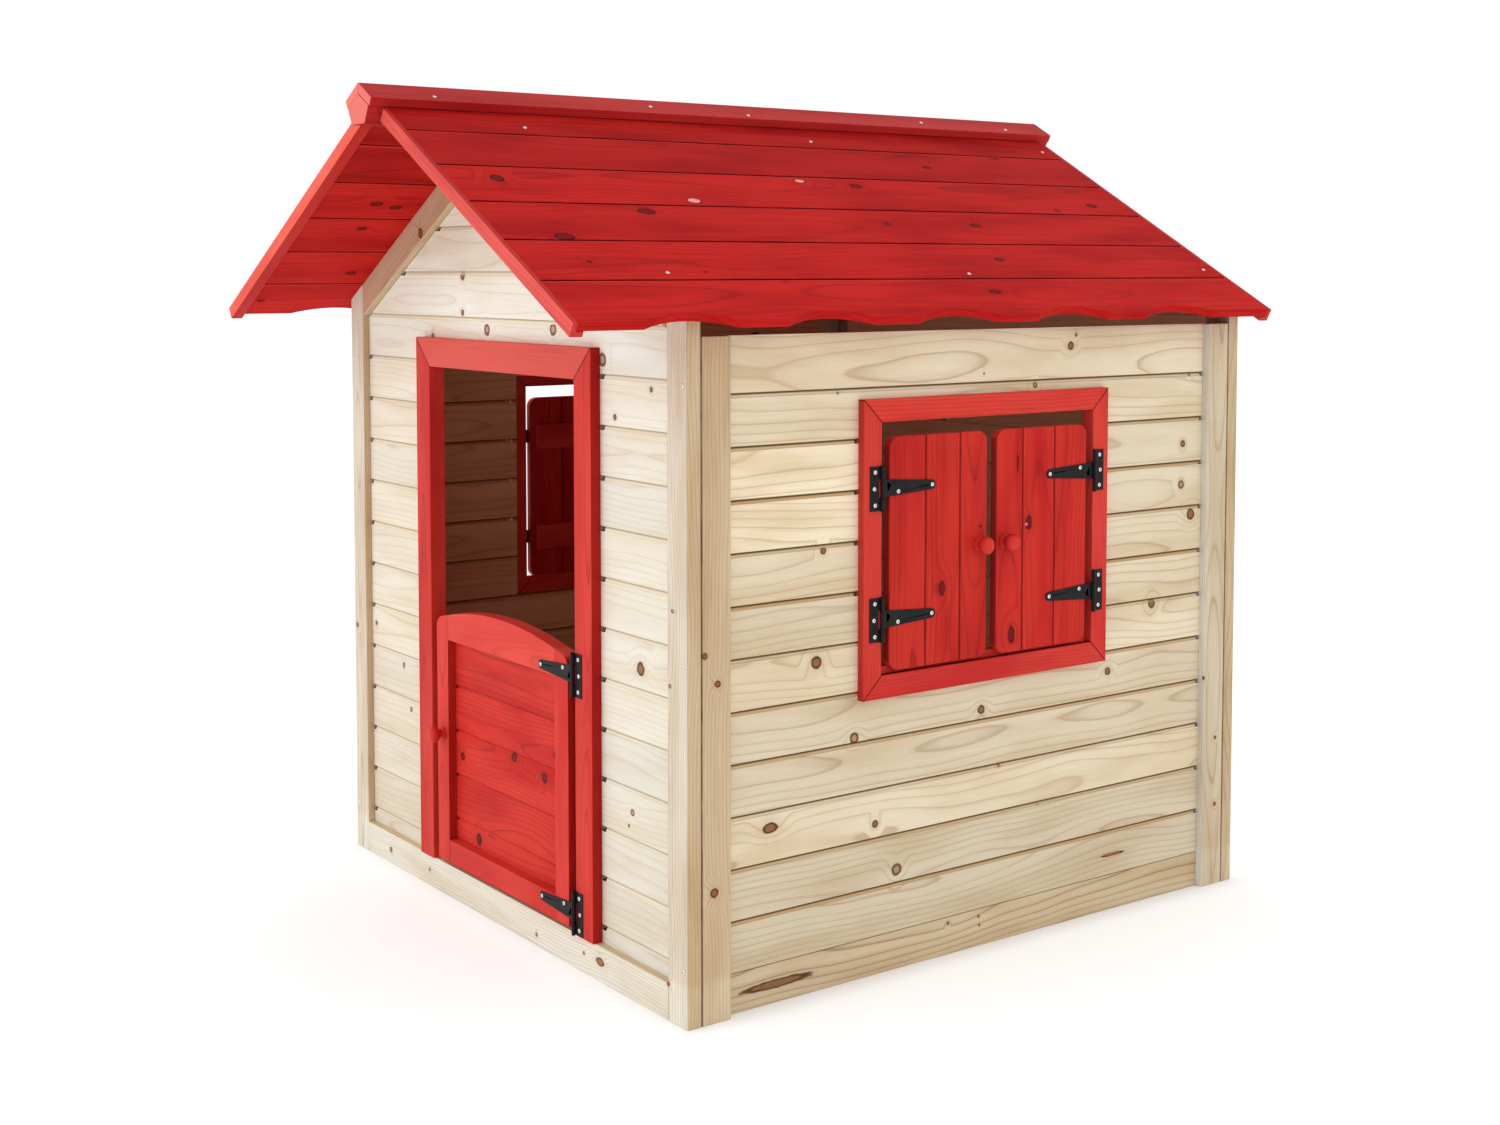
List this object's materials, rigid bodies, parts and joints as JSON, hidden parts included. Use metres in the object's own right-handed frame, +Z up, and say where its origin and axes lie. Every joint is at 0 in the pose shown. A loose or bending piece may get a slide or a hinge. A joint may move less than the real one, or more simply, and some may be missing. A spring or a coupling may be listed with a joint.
{
  "type": "playhouse",
  "caption": "Garden playhouse of tongue-and-groove boards with a red scalloped gable roof, an arched half door and hinged window shutters.",
  "frame": {"origin": "on the ground under the middle of the overall box", "axes": "+Z up, +Y along the ridge away from the door wall, +X towards the right window wall seen from the door"},
  "size_m": [1.2612, 1.5012, 1.423],
  "materials": {
    "frame_wood": "planed softwood, clear",
    "gable_boards": "planed pale softwood, clear",
    "side_boards": "planed warm softwood, clear",
    "sill_wood": "planed brown softwood, clear",
    "red_frames": "red stain, satin",
    "red_joinery": "red stain, satin",
    "red_panels": "red stain, satin",
    "red_knobs": "red stain, satin",
    "roof_wood": "red stain, satin",
    "roof_trim": "red stain, satin",
    "hinge_black": "satin black",
    "screw_zinc": "zinc plated"
  },
  "bodies": {
    "house": {"front_corner_posts": "frame_wood", "back_corner_posts": "frame_wood", "front_bottom_rail": "frame_wood", "back_bottom_rail": "frame_wood", "front_gable_rafters": "frame_wood", "back_gable_rafters": "frame_wood", "front_cladding": "gable_boards", "back_cladding": "gable_boards", "right_wall_posts": "frame_wood", "left_wall_posts": "frame_wood", "side_bottom_rails": "sill_wood", "right_cladding": "side_boards", "left_cladding": "side_boards", "right_window_boards": "side_boards", "left_window_boards": "side_boards", "door_jambs": "red_frames", "door_head": "red_frames", "right_window_frame": "red_frames", "left_window_frame": "red_frames", "right_roof_boards": "roof_wood", "left_roof_boards": "roof_wood", "front_barge_battens": "roof_trim", "back_barge_battens": "roof_trim", "roof_middle_battens": "frame_wood", "ridge_beam": "roof_trim", "ridge_cap_boards": "roof_trim", "wall_screws": "screw_zinc", "roof_screws": "screw_zinc", "door_hinge_plates": "hinge_black", "window_hinge_plates": "hinge_black", "hinge_pins": "hinge_black", "hinge_plate_screws": "screw_zinc"},
    "door": {"door_stiles": "red_joinery", "door_top_rail": "red_joinery", "door_bottom_rail": "red_joinery", "door_boards": "red_panels", "door_knob": "red_knobs", "door_hinge_straps": "hinge_black", "door_strap_screws": "screw_zinc"},
    "right_front_shutter": {"right_front_shutter_boards": "red_panels", "right_front_shutter_battens": "red_joinery", "right_front_shutter_knob": "red_knobs", "right_front_hinge_straps": "hinge_black", "right_front_strap_screws": "screw_zinc"},
    "right_back_shutter": {"right_back_shutter_boards": "red_panels", "right_back_shutter_battens": "red_joinery", "right_back_shutter_knob": "red_knobs", "right_back_hinge_straps": "hinge_black", "right_back_strap_screws": "screw_zinc"},
    "left_front_shutter": {"left_front_shutter_boards": "red_panels", "left_front_shutter_battens": "red_joinery", "left_front_shutter_knob": "red_knobs", "left_front_hinge_straps": "hinge_black", "left_front_strap_screws": "screw_zinc"},
    "left_back_shutter": {"left_back_shutter_boards": "red_panels", "left_back_shutter_battens": "red_joinery", "left_back_shutter_knob": "red_knobs", "left_back_hinge_straps": "hinge_black", "left_back_strap_screws": "screw_zinc"}
  },
  "joints": [
    {"name": "door_hinge", "type": "hinge", "parent": "house", "child": "door", "pos_m": [0.2635, -0.515, 0.28725], "axis": [0, 0, 1], "range_deg": [0, 175]},
    {"name": "right_front_shutter_hinge", "type": "hinge", "parent": "house", "child": "right_front_shutter", "pos_m": [0.58, -0.1386, 0.6782], "axis": [0, 0, -1], "range_deg": [0, 175]},
    {"name": "right_back_shutter_hinge", "type": "hinge", "parent": "house", "child": "right_back_shutter", "pos_m": [0.58, 0.3326, 0.6782], "axis": [0, 0, 1], "range_deg": [0, 175]},
    {"name": "left_front_shutter_hinge", "type": "hinge", "parent": "house", "child": "left_front_shutter", "pos_m": [-0.58, -0.1386, 0.6782], "axis": [0, 0, 1], "range_deg": [0, 175]},
    {"name": "left_back_shutter_hinge", "type": "hinge", "parent": "house", "child": "left_back_shutter", "pos_m": [-0.58, 0.3326, 0.6782], "axis": [0, 0, -1], "range_deg": [0, 175]}
  ]
}
